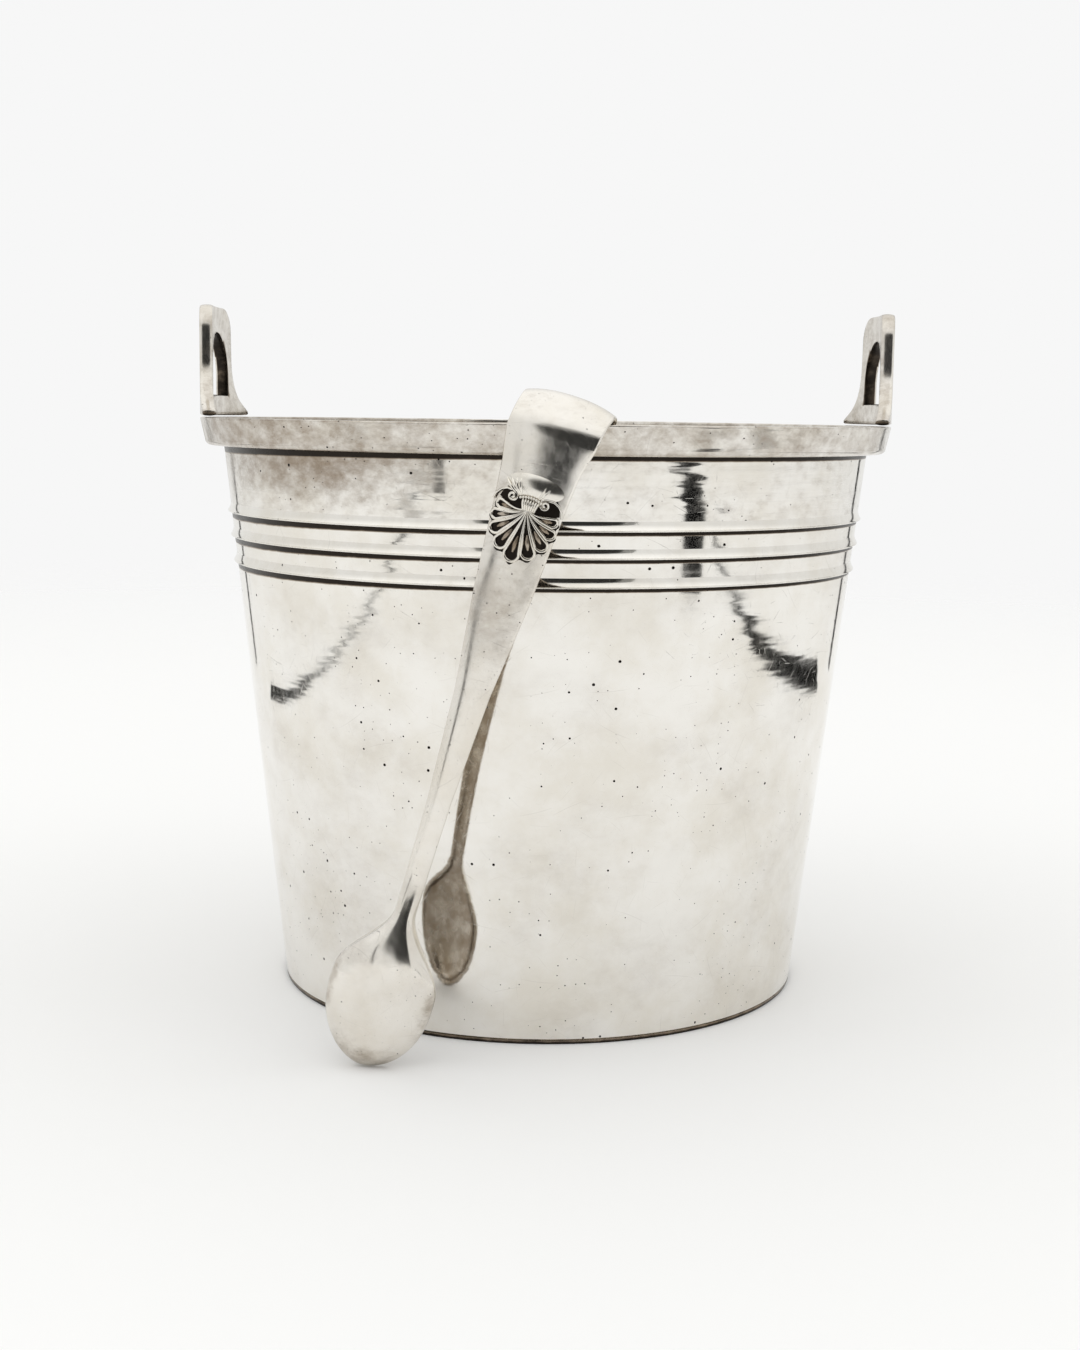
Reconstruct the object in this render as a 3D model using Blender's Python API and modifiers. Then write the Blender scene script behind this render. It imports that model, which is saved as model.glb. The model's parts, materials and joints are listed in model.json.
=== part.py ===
"""A silver champagne bucket with ring hoops, two upright handles and a pair of ice tongs.

Metres, +Z up.  The origin is the middle of the base's underside, on the bucket's own axis.
The handles stand at -X and +X, and the tongs hang over the rim at -Y.
"""
import math

import bmesh
import bpy
from mathutils import Matrix, Vector

# ---- driving dimensions: the bucket ------------------------------------------------------
GAP = 0.0003                 # clearance between pieces that touch
TURN_STEPS = 72              # facets round a turned piece
BASE_RADIUS = 0.0764         # the wall's outer radius at the floor
WALL_SLOPE = 0.1114          # how much the outer radius grows per metre of height
SHEET = 0.0012               # thickness of the raised silver sheet
BASE_THICK = 0.0012
COLLAR_BOTTOM = 0.1572
RIM_HEIGHT = 0.165
RIM_OUTER = 0.1006
RIM_INNER = 0.0966
COLLAR_BOTTOM_RADIUS = 0.0988
WALL_TOP = 0.1588

# ---- driving dimensions: the three hoops -------------------------------------------------
HOOP_LIPS = {"upper_hoop": 0.1386, "middle_hoop": 0.1316, "lower_hoop": 0.1242}
HOOP_HEIGHT = 0.0055
HOOP_LIP = 0.0014            # how far a lip stands out from the wall
HOOP_EDGE = 0.0004           # thickness of the lip and of the hoop's feathered top

# ---- driving dimensions: the handles -----------------------------------------------------
HANDLE_THICK = 0.0037
HANDLE_TOP = 0.1972
HANDLE_FOOT_HALF = 0.0297    # half the spread of the feet
HANDLE_WAIST_HALF = 0.0172   # half width where the feet have curved in
HANDLE_WAIST_Z = 0.1825
HANDLE_SHOULDER = 0.0062     # radius of the rounded top corners
HANDLE_TOP_HALF = 0.0155
HOLE_SILL = 0.1715
HOLE_HALF = 0.0126
HOLE_SPRING = 0.1768         # where the hole's round arch starts

# ---- driving dimensions: the tongs -------------------------------------------------------
STRIP = 0.0014               # thickness of the spring strip
BOW_RADIUS = 0.0085          # to the middle of the strip
BOW_HALF_WIDTH = 0.0117
HALF_SPLAY = math.radians(7.0)
TONGS_CROWN = (0.00495, -0.0970, 0.1699)
TONGS_TILT = math.radians(7.0)
TONGS_LEAN = math.radians(16.5)
TONGS_YAW = math.radians(-11.4)
ARM_LENGTH = 0.1296
# (distance down the arm, half width)
ARM_STATIONS = ((0.0, 0.0115), (0.008, 0.0098), (0.018, 0.0089), (0.028, 0.0084), (0.040, 0.0074),
                (0.052, 0.0061), (0.066, 0.0046), (0.080, 0.0036), (0.095, 0.0031), (0.1296, 0.0028))
BOWL_CENTRE = 0.1491
BOWL_HALF_LENGTH = 0.0186
BOWL_HALF_WIDTH = 0.0142
BOWL_DEPTH = 0.0066
SHELL_CENTRE = 0.0195        # middle of the shell ornament, down the arm
SHELL_HALF_HEIGHT = 0.0108
SHELL_HALF_WIDTH = 0.0090
SHELL_THICK = 0.0018
SHELL_LOBES = 10

# ---- materials: name -> (colour, roughness) ----------------------------------------------
SILVER = {
    "silver_body": ((0.83, 0.82, 0.79, 1.0), 0.22),
    "silver_hoop": ((0.80, 0.79, 0.76, 1.0), 0.24),
    "silver_handle": ((0.60, 0.57, 0.53, 1.0), 0.34),
    "silver_tongs": ((0.78, 0.77, 0.74, 1.0), 0.25),
    "silver_shell": ((0.55, 0.53, 0.49, 1.0), 0.38),
}


# ---- scene helpers -----------------------------------------------------------------------
def clear_scene():
    for thing in list(bpy.data.objects):
        bpy.data.objects.remove(thing)


def new_collection(name):
    group = bpy.data.collections.new(name)
    bpy.context.scene.collection.children.link(group)
    return group


def metal(name):
    colour, roughness = SILVER[name]
    material = bpy.data.materials.new(name)
    material.use_nodes = True
    shader = material.node_tree.nodes["Principled BSDF"]
    shader.inputs["Base Color"].default_value = colour
    shader.inputs["Roughness"].default_value = roughness
    shader.inputs["Metallic"].default_value = 1.0
    return material


def add_object(name, data, collection, material=None, parent=None):
    thing = bpy.data.objects.new(name, data)
    collection.objects.link(thing)
    thing.parent = parent
    if material is not None:
        data.materials.append(material)
    return thing


def hide_cutter(thing):
    thing.hide_render = True
    thing.display_type = "WIRE"


def profile_mesh(name, points, closed=True):
    """A chain of edges in the XZ plane, ready to be turned about Z."""
    mesh = bpy.data.meshes.new(name)
    shape = bmesh.new()
    corners = [shape.verts.new((x, 0.0, z)) for x, z in points]
    for first, second in zip(corners, corners[1:]):
        shape.edges.new((first, second))
    if closed:
        shape.edges.new((corners[-1], corners[0]))
    shape.to_mesh(mesh)
    shape.free()
    return mesh


def add_screw(thing, steps=TURN_STEPS, angle=2.0 * math.pi):
    screw = thing.modifiers.new("turn", "SCREW")
    screw.axis = "Z"
    screw.angle = angle
    screw.steps = steps
    screw.render_steps = steps
    screw.use_merge_vertices = True
    screw.merge_threshold = 0.00001
    screw.use_smooth_shade = True


def turned(name, points, collection, material=None):
    """A ring turned about the bucket's axis.  The points run down the outer side first."""
    ring = add_object(name, profile_mesh(name, points), collection, material)
    add_screw(ring)
    return ring


def outline_object(name, loops, half_thickness, collection):
    """A flat outline, with any holes, extruded both ways from its own XY plane."""
    curve = bpy.data.curves.new(name, "CURVE")
    curve.dimensions = "2D"
    curve.fill_mode = "BOTH"
    curve.extrude = half_thickness
    for loop in loops:
        spline = curve.splines.new("POLY")
        spline.points.add(len(loop) - 1)
        for point, (x, y) in zip(spline.points, loop):
            point.co = (x, y, 0.0, 1.0)
        spline.use_cyclic_u = True
    return add_object(name, curve, collection)


def as_mesh(source, name, collection, material=None, parent=None):
    """A welded mesh copy of a curve object, which is then removed."""
    bpy.context.view_layer.update()
    graph = bpy.context.evaluated_depsgraph_get()
    mesh = bpy.data.meshes.new_from_object(source.evaluated_get(graph))
    mesh.name = name
    shape = bmesh.new()
    shape.from_mesh(mesh)
    bmesh.ops.remove_doubles(shape, verts=shape.verts, dist=0.00001)
    bmesh.ops.recalc_face_normals(shape, faces=shape.faces)
    shape.to_mesh(mesh)
    shape.free()
    place = source.matrix_world.copy()
    bpy.data.objects.remove(source)
    mesh.materials.clear()
    solid = add_object(name, mesh, collection, material, parent)
    solid.matrix_world = place
    return solid


def arc(centre_x, centre_y, radius, start, end, count):
    """Points on a circle from one angle to another, in degrees, both ends included."""
    points = []
    for step in range(count + 1):
        angle = math.radians(start + (end - start) * step / count)
        points.append((centre_x + radius * math.cos(angle), centre_y + radius * math.sin(angle)))
    return points


# ---- the bucket --------------------------------------------------------------------------
def wall_radius(height):
    return BASE_RADIUS + WALL_SLOPE * height


def make_wall(collection, material):
    bottom = BASE_THICK + GAP
    inner = SHEET * math.hypot(1.0, WALL_SLOPE)
    points = [(wall_radius(WALL_TOP), WALL_TOP), (wall_radius(bottom), bottom),
              (wall_radius(bottom) - inner, bottom), (wall_radius(WALL_TOP) - inner, WALL_TOP)]
    return turned("bucket_wall", points, collection, material)


def make_base(collection, material):
    """The flat disc that closes the bucket; its edge is turned with a small chamfer."""
    chamfer = 0.0003
    mesh = bpy.data.meshes.new("base_plate")
    shape = bmesh.new()
    bmesh.ops.create_cone(shape, cap_ends=True, segments=TURN_STEPS, radius1=BASE_RADIUS,
                          radius2=BASE_RADIUS, depth=BASE_THICK)
    bmesh.ops.translate(shape, verts=shape.verts, vec=(0.0, 0.0, BASE_THICK / 2.0))
    rims = [edge for edge in shape.edges if abs(edge.verts[0].co.z - edge.verts[1].co.z) < 1e-6]
    bmesh.ops.bevel(shape, geom=rims, offset=chamfer, segments=1, affect="EDGES")
    shape.to_mesh(mesh)
    shape.free()
    return add_object("base_plate", mesh, collection, material)


def make_collar(collection, material):
    """The heavy rim: a tapered band round the wall's top, with a cove on its inner side."""
    seat = wall_radius(COLLAR_BOTTOM) + GAP
    over_wall = WALL_TOP + GAP
    wall_inside = wall_radius(WALL_TOP) - SHEET * 1.3
    lower_edge = 0.0007
    points = [(RIM_OUTER - 0.0003, RIM_HEIGHT), (RIM_OUTER, RIM_HEIGHT - 0.0004),
              (COLLAR_BOTTOM_RADIUS, COLLAR_BOTTOM + lower_edge),
              (COLLAR_BOTTOM_RADIUS - lower_edge, COLLAR_BOTTOM),
              (seat, COLLAR_BOTTOM), (wall_radius(over_wall) + GAP, over_wall),
              (wall_inside, over_wall), (wall_inside + 0.0003, over_wall + 0.0012),
              (RIM_INNER - 0.0008, RIM_HEIGHT - 0.0016), (RIM_INNER, RIM_HEIGHT)]
    return turned("rim_collar", points, collection, material)


def make_hoop(name, lip_height, collection, material):
    """A soldered hoop: it sweeps out in a hollow curve to a sharp lip and steps back in."""
    steps = 3
    top = lip_height + HOOP_HEIGHT
    points = []
    for step in range(steps + 1):
        drop = step / steps
        height = top - HOOP_HEIGHT * drop
        stand_out = HOOP_EDGE + (HOOP_LIP - HOOP_EDGE) * drop ** 2
        points.append((wall_radius(height) + GAP + stand_out, height))
    lip_bottom = lip_height - HOOP_EDGE
    points.append((wall_radius(lip_height) + GAP + HOOP_LIP, lip_bottom))
    points.append((wall_radius(lip_bottom) + GAP, lip_bottom))
    points.append((wall_radius(top) + GAP, top))
    return turned(name, points, collection, material)


def handle_outline():
    """Half outline from the foot up to the top, mirrored: (across, height) pairs."""
    foot = RIM_HEIGHT + GAP
    flare_w = HANDLE_FOOT_HALF - HANDLE_WAIST_HALF
    flare_h = HANDLE_WAIST_Z - foot
    flare = []
    for step in range(7):
        angle = math.radians(90.0 * step / 6)
        flare.append((HANDLE_FOOT_HALF - flare_w * math.sin(angle),
                      foot + flare_h * (1.0 - math.cos(angle))))
    shoulder = arc(HANDLE_TOP_HALF - HANDLE_SHOULDER, HANDLE_TOP - HANDLE_SHOULDER,
                   HANDLE_SHOULDER, 0.0, 90.0, 5)
    half = flare + shoulder
    return half + [(-x, z) for x, z in reversed(half)]


def hole_outline():
    half_turn = arc(0.0, HOLE_SPRING, HOLE_HALF, 0.0, 180.0, 14)
    return [(HOLE_HALF, HOLE_SILL)] + half_turn + [(-HOLE_HALF, HOLE_SILL)]


def make_handle(name, side, collection, cutters, material):
    """A length of the rim's own curve, cut to an arch with a finger hole through it."""
    inner = RIM_OUTER - HANDLE_THICK
    foot = RIM_HEIGHT + GAP
    blank = turned(name, [(RIM_OUTER, HANDLE_TOP + 0.002), (RIM_OUTER, foot),
                          (inner, foot), (inner, HANDLE_TOP + 0.002)], collection, material)
    flat = outline_object(name + "_outline", [handle_outline(), hole_outline()], 0.02, cutters)
    flat.rotation_euler = (math.pi / 2.0, 0.0, math.pi / 2.0)
    flat.location = (side * RIM_OUTER, 0.0, 0.0)
    cutter = as_mesh(flat, name + "_outline", cutters)
    hide_cutter(cutter)
    cut = blank.modifiers.new("arch", "BOOLEAN")
    cut.operation = "INTERSECT"
    cut.object = cutter
    return blank


# ---- the tongs ---------------------------------------------------------------------------
def add_empty(name, collection, location, rotation, parent=None):
    empty = add_object(name, None, collection, parent=parent)
    empty.location = location
    empty.rotation_euler = rotation
    empty.empty_display_size = 0.01
    return empty


def arm_half_width(distance):
    for (near, wide), (far, narrow) in zip(ARM_STATIONS, ARM_STATIONS[1:]):
        if distance <= far:
            return wide + (narrow - wide) * (distance - near) / (far - near)
    return ARM_STATIONS[-1][1]


def make_bow(collection, material, frame):
    """The bent crown of the spring strip, a little less than half a turn about the frame's X."""
    sweep = math.pi - 2.0 * HALF_SPLAY
    line = [(BOW_RADIUS, BOW_HALF_WIDTH), (BOW_RADIUS, -BOW_HALF_WIDTH)]
    mesh = profile_mesh("tongs_bow", line, closed=False)
    # Turning starts here, so that the middle of the sweep is the crown once the bow lies over.
    mesh.transform(Matrix.Rotation(math.pi - sweep / 2.0, 4, "Z"))
    bow = add_object("tongs_bow", mesh, collection, material, frame)
    bow.location = (0.0, 0.0, -BOW_RADIUS)
    bow.rotation_euler = (0.0, math.pi / 2.0, 0.0)
    add_screw(bow, steps=16, angle=sweep)
    wall = bow.modifiers.new("strip", "SOLIDIFY")
    wall.thickness = STRIP
    wall.offset = 0.0


def make_arm(prefix, collection, material, hinge):
    """A flat tapering strip that hangs from the bow's end along the hinge's own -Z."""
    drops = [GAP] + [drop for drop, _ in ARM_STATIONS[1:-1]] + [ARM_LENGTH]
    right = [(arm_half_width(drop), -drop) for drop in drops]
    left = [(-x, y) for x, y in reversed(right)]
    flat = outline_object(prefix + "_arm_outline", [right + left], STRIP / 2.0, collection)
    flat.rotation_euler = (math.pi / 2.0, 0.0, 0.0)
    arm = as_mesh(flat, prefix + "_arm", collection, material)
    arm.parent = hinge
    return arm


def make_bowl(prefix, outward, collection, material, hinge):
    """A spoon-like bowl: half an egg-shaped sheet, hollow towards the other arm."""
    mesh = bpy.data.meshes.new(prefix + "_bowl")
    shape = bmesh.new()
    bmesh.ops.create_uvsphere(shape, u_segments=28, v_segments=14, radius=1.0)
    bmesh.ops.rotate(shape, verts=shape.verts, cent=(0.0, 0.0, 0.0),
                     matrix=Vector((0.0, 0.0, 1.0)).rotation_difference(
                         Vector((0.0, outward, 0.0))).to_matrix())
    spare = [vert for vert in shape.verts if vert.co.y * outward < -0.001]
    bmesh.ops.delete(shape, geom=spare, context="VERTS")
    size = Vector((BOWL_HALF_WIDTH, BOWL_DEPTH, BOWL_HALF_LENGTH))
    bmesh.ops.scale(shape, verts=shape.verts, vec=size)
    bmesh.ops.translate(shape, verts=shape.verts, vec=(0.0, 0.0, -BOWL_CENTRE))
    bmesh.ops.recalc_face_normals(shape, faces=shape.faces)
    for face in shape.faces:
        face.smooth = True
    shape.to_mesh(mesh)
    shape.free()
    bowl = add_object(prefix + "_bowl", mesh, collection, material, hinge)
    wall = bowl.modifiers.new("sheet", "SOLIDIFY")
    wall.thickness = SHEET
    wall.offset = -1.0
    return bowl


def make_shell(prefix, outward, collection, material, hinge):
    """The cast shell ornament on the arm's outer face, a scalloped fan on a narrow neck."""
    points = []
    count = SHELL_LOBES * 6
    for step in range(count):
        angle = 2.0 * math.pi * step / count
        fan = 1.0 - 0.05 * (1.0 - math.cos(SHELL_LOBES * angle)) / 2.0
        points.append((SHELL_HALF_WIDTH * fan * math.sin(angle),
                       SHELL_HALF_HEIGHT * fan * math.cos(angle) - SHELL_CENTRE))
    flat = outline_object(prefix + "_shell_outline", [points], SHELL_THICK / 2.0, collection)
    flat.rotation_euler = (math.pi / 2.0, 0.0, 0.0)
    flat.location = (0.0, outward * (STRIP / 2.0 + GAP + SHELL_THICK / 2.0), 0.0)
    shell = as_mesh(flat, prefix + "_shell", collection, material)
    shell.parent = hinge
    return shell


def make_tongs(collection, materials):
    """Two arms that hang from the bow's ends; each turns on its own hinge empty."""
    frame = add_empty("tongs_frame", collection, TONGS_CROWN, (TONGS_TILT, TONGS_LEAN, TONGS_YAW))
    make_bow(collection, materials["silver_tongs"], frame)
    for prefix, outward in (("outer", -1.0), ("inner", 1.0)):
        end = (0.0, outward * BOW_RADIUS * math.cos(HALF_SPLAY),
               -BOW_RADIUS * (1.0 - math.sin(HALF_SPLAY)))
        hinge = add_empty(prefix + "_hinge", collection, end, (outward * HALF_SPLAY, 0.0, 0.0),
                          frame)
        make_arm(prefix, collection, materials["silver_tongs"], hinge)
        make_bowl(prefix, outward, collection, materials["silver_tongs"], hinge)
        make_shell(prefix, outward, collection, materials["silver_shell"], hinge)


# ---- the whole object --------------------------------------------------------------------
def build():
    clear_scene()
    parts = new_collection("champagne_bucket")
    cutters = new_collection("cutters")
    materials = {name: metal(name) for name in SILVER}
    make_wall(parts, materials["silver_body"])
    make_base(parts, materials["silver_body"])
    make_collar(parts, materials["silver_body"])
    for name, lip_height in HOOP_LIPS.items():
        make_hoop(name, lip_height, parts, materials["silver_hoop"])
    for name, side in (("left_handle", -1.0), ("right_handle", 1.0)):
        make_handle(name, side, parts, cutters, materials["silver_handle"])
    make_tongs(parts, materials)


build()
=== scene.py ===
# %% [markdown]
# # A silver champagne bucket with ice tongs
#
# The bucket is raised from sheet silver: a tapered wall on a flat base disc, a heavy rim
# collar, three hoops with sharp lips and two arched handles that stand on the rim.  A pair of
# ice tongs hangs over the rim.  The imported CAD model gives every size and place.  This script
# dresses it: each plain solid gives way to a finer piece of the same size, and every piece gets
# a worn silver finish made of shader nodes.

# %% Load the frame and keep its box
import json
import math

import bmesh
import bpy
import numpy as np
from mathutils import Matrix, Vector


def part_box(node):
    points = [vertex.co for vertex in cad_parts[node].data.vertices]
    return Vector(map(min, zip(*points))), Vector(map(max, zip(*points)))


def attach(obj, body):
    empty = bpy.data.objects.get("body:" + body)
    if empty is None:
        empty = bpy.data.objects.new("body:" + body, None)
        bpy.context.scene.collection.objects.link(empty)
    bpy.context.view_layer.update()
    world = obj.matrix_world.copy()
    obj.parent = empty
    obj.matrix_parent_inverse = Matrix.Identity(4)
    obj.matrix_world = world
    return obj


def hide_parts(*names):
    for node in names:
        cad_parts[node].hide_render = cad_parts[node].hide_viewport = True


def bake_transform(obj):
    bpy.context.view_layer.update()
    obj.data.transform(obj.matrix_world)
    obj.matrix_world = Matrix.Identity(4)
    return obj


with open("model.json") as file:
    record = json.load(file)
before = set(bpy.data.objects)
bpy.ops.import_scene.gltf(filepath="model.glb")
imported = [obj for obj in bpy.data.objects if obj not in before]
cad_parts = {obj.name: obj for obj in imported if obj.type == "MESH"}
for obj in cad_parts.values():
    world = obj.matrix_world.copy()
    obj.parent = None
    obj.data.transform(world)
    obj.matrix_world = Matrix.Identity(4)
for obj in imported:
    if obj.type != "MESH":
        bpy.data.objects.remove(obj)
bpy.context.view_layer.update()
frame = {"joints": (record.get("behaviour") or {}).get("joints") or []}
JOINTS = {joint["name"]: joint for joint in frame["joints"]}

# %% [markdown]
# The camera comes first, because everything is judged through it.  It stands a little over half
# a metre away, level with the rim, and looks slightly down, as somebody at a table does.
# Its pose is built from rotation matrices for the pitch, the yaw and the roll.

# %% Camera
CAMERA_DISTANCE = 0.5652
CAMERA_HEIGHT = 0.1681
CAMERA_PITCH = math.radians(7.94)
CAMERA_ROLL = math.radians(0.83)
CAMERA_YAW = math.radians(-0.06)
CAMERA_LENS = 50.5


def add_object(name, data):
    """A new object in the scene, at the origin."""
    thing = bpy.data.objects.new(name, data)
    bpy.context.scene.collection.objects.link(thing)
    return thing


camera_data = bpy.data.cameras.new("camera")
camera_data.lens = CAMERA_LENS
camera_data.sensor_width = 36.0
camera_data.clip_start = 0.01
camera = add_object("camera", camera_data)
look_down = Matrix.Rotation(math.pi / 2.0 - CAMERA_PITCH, 4, "X")
turn = Matrix.Rotation(-CAMERA_YAW, 4, "Z")
roll = Matrix.Rotation(CAMERA_ROLL, 4, "Z")
camera.matrix_world = (Matrix.Translation((0.0, -CAMERA_DISTANCE, CAMERA_HEIGHT))
                       @ turn @ look_down @ roll)
bpy.context.scene.camera = camera
print("camera at", camera.location[:])

# %% [markdown]
# Materials, the studio and the geometry trees are all made of nodes.  A few helpers keep them
# short: one adds a node with its settings and inputs, the rest wrap the nodes used most.

# %% Node helpers
def connect(tree, socket, value):
    """Gives an input a plain value, another node's output, or a node's first output."""
    if isinstance(value, bpy.types.Node):
        value = value.outputs[0]
    if isinstance(value, bpy.types.NodeSocket):
        tree.links.new(value, socket)
    else:
        socket.default_value = value


def add(tree, kind, inputs=None, **settings):
    """A new node: its settings first, then its inputs by name or place."""
    node = tree.nodes.new(kind)
    for label, value in settings.items():
        setattr(node, label, value)
    for label, value in (inputs or {}).items():
        connect(tree, node.inputs[label], value)
    return node


def math_node(tree, operation, first, second=None, clamp=False):
    inputs = {0: first} if second is None else {0: first, 1: second}
    return add(tree, "ShaderNodeMath", inputs, operation=operation,
               use_clamp=clamp).outputs["Value"]


def times(tree, first, second):
    return math_node(tree, "MULTIPLY", first, second)


def plus(tree, first, second):
    return math_node(tree, "ADD", first, second)


def remap(tree, value, start, end, to_start=0.0, to_end=1.0):
    """A smooth step between two values."""
    return add(tree, "ShaderNodeMapRange",
               {"Value": value, "From Min": start, "From Max": end, "To Min": to_start,
                "To Max": to_end}, interpolation_type="SMOOTHSTEP").outputs["Result"]


def split_axes(tree, vector):
    return add(tree, "ShaderNodeSeparateXYZ", {"Vector": vector}).outputs


def new_material(name, **values):
    """A material and its Principled shader, with the given inputs set."""
    material = bpy.data.materials.new(name)
    material.use_nodes = True
    shader = material.node_tree.nodes["Principled BSDF"]
    for label, value in values.items():
        shader.inputs[label.replace("_", " ")].default_value = value
    return material, material.node_tree, shader


print("node helpers ready")

# %% [markdown]
# Polished silver has hardly any colour of its own: it shows what stands round it.  So the
# studio matters more than the lamps.  The room is an even white, like the inside of a light
# tent, and a little brighter overhead.

# %% Light and surroundings
ROOM_WHITE = 0.86
CEILING_WHITE = 1.14
BACKDROP_WHITE = 0.93
bpy.context.scene.view_settings.view_transform = "Standard"


def grey(value, blue=1.0):
    return (value, value, value * blue, 1.0)


def make_world():
    """White all round, and a plain backdrop for the camera itself."""
    world = bpy.data.worlds.new("light_tent")
    bpy.context.scene.world = world
    world.use_nodes = True
    tree = world.node_tree
    tree.nodes.clear()
    seen = add(tree, "ShaderNodeBackground", {"Color": grey(BACKDROP_WHITE)})
    height = split_axes(tree, add(tree, "ShaderNodeTexCoord").outputs["Generated"])["Z"]
    lit = add(tree, "ShaderNodeBackground",
              {"Color": grey(1.0, 0.985),
               "Strength": remap(tree, height, 0.30, 0.85, ROOM_WHITE, CEILING_WHITE)})
    path = add(tree, "ShaderNodeLightPath")
    mix = add(tree, "ShaderNodeMixShader",
              {"Fac": path.outputs["Is Camera Ray"], 1: lit, 2: seen})
    add(tree, "ShaderNodeOutputWorld", {"Surface": mix})


def add_softbox(name, place, target, size, power):
    data = bpy.data.lights.new(name, "AREA")
    data.shape = "RECTANGLE"
    data.size, data.size_y = size
    data.energy = power
    lamp = add_object(name, data)
    lamp.visible_glossy = False
    aim = (Vector(target) - Vector(place)).to_track_quat("-Z", "Y")
    lamp.matrix_world = Matrix.LocRotScale(Vector(place), aim, None)


make_world()
add_softbox("softbox_left", (-0.9, -0.5, 1.0), (0.0, 0.0, 0.1), (0.9, 0.6), 1.2)
add_softbox("softbox_right", (1.0, -0.3, 1.1), (0.0, 0.0, 0.1), (0.7, 0.5), 0.8)

# %% [markdown]
# The floor is a wide pale disc that fades out before its edge, so that no horizon shows.

# %% Floor
FLOOR_RADIUS = 2.4
FLOOR_WHITE = 0.905


def stage_mesh(name, corners, material, seen=False):
    """A flat part of the studio.  Only the floor is seen directly, the rest as reflections."""
    mesh = bpy.data.meshes.new(name)
    mesh.from_pydata([Vector(corner) for corner in corners], [], [tuple(range(len(corners)))])
    mesh.materials.append(material)
    thing = add_object(name, mesh)
    thing.visible_camera = thing.visible_diffuse = thing.visible_shadow = seen


def floor_material():
    material, tree, shader = new_material("floor_white", Base_Color=grey(FLOOR_WHITE),
                                          Roughness=0.7, Specular_IOR_Level=0.1)
    place = add(tree, "ShaderNodeTexCoord").outputs["Object"]
    distance = add(tree, "ShaderNodeVectorMath", {0: place}, operation="LENGTH").outputs["Value"]
    connect(tree, shader.inputs["Alpha"], remap(tree, distance, 0.5, 1.6, 1.0, 0.0))
    return material


def oval(middle, wide, tall, count):
    """Points round an oval."""
    return [(middle[0] + wide * math.cos(2.0 * math.pi * i / count),
             middle[1] + tall * math.sin(2.0 * math.pi * i / count)) for i in range(count)]


stage_mesh("floor", [(x, y, 0.0) for x, y in oval((0.0, 0.0), FLOOR_RADIUS, FLOOR_RADIUS, 64)],
           floor_material(), seen=True)
print("floor radius", FLOOR_RADIUS)

# %% [markdown]
# A light tent has dark seams and an opening with somebody in front of it.  Their reflections
# are the long dark bends on the wall and the dark patch on the crown of the tongs.  Strips lie
# on the floor and boards stand upright, all out of the camera's view.

# %% Dark seams and boards, seen only as reflections
SEAM_HEIGHT = 0.0008


def dark_material(name, value):
    return new_material(name, Base_Color=grey(value, 0.98), Roughness=0.9,
                        Specular_IOR_Level=0.0)[0]


def seam(name, path, widths, value):
    """A flat dark strip along a path of (x, y) points on the floor, with a width at each."""
    left, right = [], []
    for i, (x, y) in enumerate(path):
        before, after = path[max(i - 1, 0)], path[min(i + 1, len(path) - 1)]
        along = Vector((after[0] - before[0], after[1] - before[1])).normalized()
        side = Vector((-along.y, along.x)) * widths[i] / 2.0
        left.append((x + side.x, y + side.y, SEAM_HEIGHT))
        right.append((x - side.x, y - side.y, SEAM_HEIGHT))
    stage_mesh(name, left + right[::-1], dark_material(name, value))


def upright(name, left, right, foot, top, value, corner=0.0):
    """A dark upright board between two (x, y) points, with its corners cut off."""
    left, right = Vector(left), Vector(right)
    along = (right - left).normalized() * corner
    cut = corner * 0.8
    outline = [(left + along, foot), (right - along, foot), (right, foot + cut),
               (right, top - cut), (right - along, top), (left + along, top),
               (left, top - cut), (left, foot + cut)]
    if corner == 0.0:
        outline = [(left, foot), (right, foot), (right, top), (left, top)]
    stage_mesh(name, [(place.x, place.y, z) for place, z in outline],
               dark_material(name, value))


seam("seam_right", [(0.520, -0.330), (0.480, -0.210), (0.446, -0.080), (0.436, 0.080),
                    (0.405, 0.280)], (0.016, 0.020, 0.044, 0.056, 0.074), 0.008)
seam("seam_left", [(-0.435, -0.560), (-0.420, -0.300), (-0.400, -0.040), (-0.380, 0.110),
                   (-0.365, 0.230)], (0.030, 0.010, 0.010, 0.024, 0.036), 0.02)
upright("grey_halo", (-0.37, -0.87), (0.52, -0.87), 0.03, 0.66, 0.30, 0.16)
upright("dark_figure", (-0.32, -0.85), (0.42, -0.85), 0.04, 0.56, 0.03, 0.10)
upright("dark_figure_foot", (-0.16, -0.849), (0.42, -0.849), 0.0, 0.09, 0.03)
seam("post_right_foot", [(0.384, -0.321), (0.478, -0.396), (0.557, -0.507), (0.611, -0.642)],
     (0.060, 0.084, 0.104, 0.124), 0.008)
upright("post_left", (-0.378, -0.520), (-0.342, -0.545), 0.0, 0.16, 0.10)
upright("tent_edge_right", (0.350, 0.44), (0.385, 0.44), 0.0, 0.50, 0.04)
upright("tent_edge_left", (-0.375, 0.42), (-0.350, 0.42), 0.0, 0.50, 0.08)

# %% [markdown]
# ## The silver finish
#
# Old silver is a near mirror with a history.  Fine swirls from polishing cloths blur its
# reflections, single deeper scratches cross them, tiny black pits dot the surface, and warm
# brown tarnish gathers where a cloth doesn't reach.  Each of these effects is a node group, so
# that the wall, the handles and the tongs can share it with their own amounts.

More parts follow.
